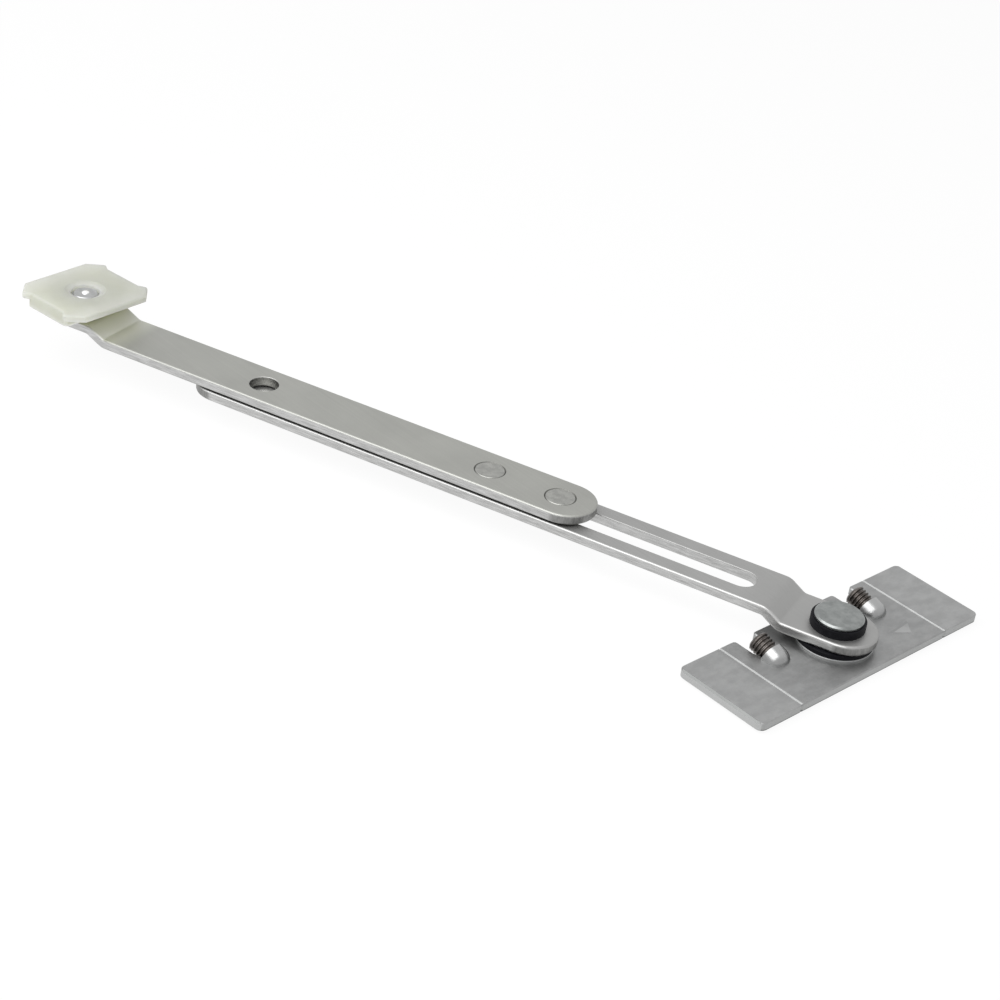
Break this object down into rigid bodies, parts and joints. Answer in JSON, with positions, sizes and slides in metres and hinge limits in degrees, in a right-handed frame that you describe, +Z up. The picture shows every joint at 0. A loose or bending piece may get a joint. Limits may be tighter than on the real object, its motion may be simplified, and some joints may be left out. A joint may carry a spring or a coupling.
{
  "type": "window restrictor",
  "caption": "Window restrictor: a base plate clamped in a frame groove carries a swinging slotted arm, and a riveted bar that slides along it ends in a turning nylon slide block.",
  "frame": {"origin": "on the pivot stud's axis, level with the underside of the base plate", "axes": "+X across the base plate, out of the edge with the screw notches, which is the side the arm opens to; +Y along the base plate; +Z up, out of the groove that the plate lies in"},
  "size_m": [0.1774, 0.0953, 0.0157],
  "materials": {
    "cast_zinc": "die-cast zinc, satin",
    "strip_steel": "cold-rolled steel strip, satin",
    "pin_steel": "turned steel, satin",
    "screw_steel": "dark steel with a little oil",
    "black_plastic": "black acetal, matte",
    "white_nylon": "natural nylon, slightly translucent, satin"
  },
  "bodies": {
    "base": {"base_plate": "cast_zinc", "pivot_stud": "pin_steel", "pivot_washer": "black_plastic"},
    "left_screw": {"left_clamp_screw": "screw_steel"},
    "right_screw": {"right_clamp_screw": "screw_steel"},
    "arm": {"slotted_arm": "strip_steel", "pivot_bush": "black_plastic"},
    "bar": {"carrier_bar": "strip_steel", "front_slide_rivet": "pin_steel", "rear_slide_rivet": "pin_steel", "front_glide_bush": "black_plastic", "rear_glide_bush": "black_plastic", "front_backing_washer": "pin_steel", "rear_backing_washer": "pin_steel", "block_rivet": "pin_steel"},
    "block": {"slide_block": "white_nylon"}
  },
  "joints": [
    {"name": "arm_swing", "type": "hinge", "parent": "base", "child": "arm", "pos_m": [0, 0, 0], "axis": [0, 0, 1], "range_deg": [-108.9, 71.1]},
    {"name": "bar_slide", "type": "slide", "parent": "arm", "child": "bar", "axis": [0.9461, 0.3239, 0], "range_m": [-0.0373, 0]},
    {"name": "block_swivel", "type": "hinge", "parent": "bar", "child": "block", "pos_m": [0.15733, 0.05387, 0.0139], "axis": [0, 0, 1], "continuous": true},
    {"name": "left_screw_feed", "type": "slide", "parent": "base", "child": "left_screw", "axis": [-0.9511, 0, -0.309], "range_m": [0, 0.0013]},
    {"name": "right_screw_feed", "type": "slide", "parent": "base", "child": "right_screw", "axis": [-0.9511, 0, -0.309], "range_m": [0, 0.0013]}
  ]
}
